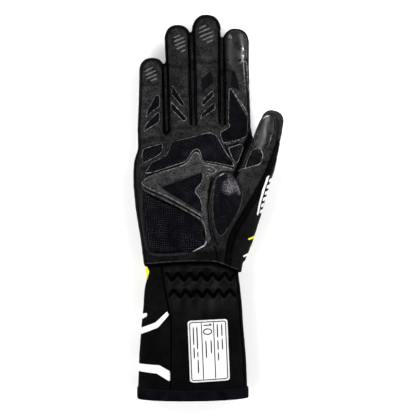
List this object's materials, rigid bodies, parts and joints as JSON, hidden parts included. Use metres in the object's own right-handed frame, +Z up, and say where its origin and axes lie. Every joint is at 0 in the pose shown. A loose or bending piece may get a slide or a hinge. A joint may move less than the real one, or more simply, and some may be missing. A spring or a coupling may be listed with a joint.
{
  "type": "karting glove",
  "caption": "Right-hand racing glove with a long flared cuff, grip pads on the palm, a padded thumb ball and a gathered wrist, lying palm up.",
  "frame": {"origin": "middle of the footprint, on the surface that the glove lies on", "axes": "+Y from the cuff to the fingertips, +Z up out of the palm, +X to the thumb"},
  "size_m": [0.121, 0.314, 0.0397],
  "materials": {
    "suede": "dark grey suede with a fine nap",
    "knit": "black ribbed knit",
    "stretch": "black stretch knit between the panels",
    "mesh": "dark mesh with a fine grid of grip dots",
    "gloss": "smooth shiny black leather",
    "cuff_cloth": "smooth black stretch cloth",
    "binding": "black twill binding",
    "label": "white woven label"
  },
  "bodies": {
    "root": {"palm_panel": "suede", "back_panel": "knit", "gusset_little_ring": "stretch", "gusset_ring_middle": "stretch", "gusset_middle_index": "stretch", "thumb_front": "suede", "thumb_gusset": "stretch", "thumb_back": "knit", "knuckle_pad": "mesh", "side_pad": "mesh", "heel_pad": "mesh", "centre_pad": "mesh", "index_pad": "mesh", "web_pad": "mesh", "thumb_mesh_pad": "mesh", "thenar_pad": "mesh", "thumb_tip_patch": "gloss", "index_tip_cap": "gloss", "cuff_front": "cuff_cloth", "cuff_back": "cuff_cloth", "hem_band": "binding", "cuff_label": "label"}
  },
  "joints": []
}
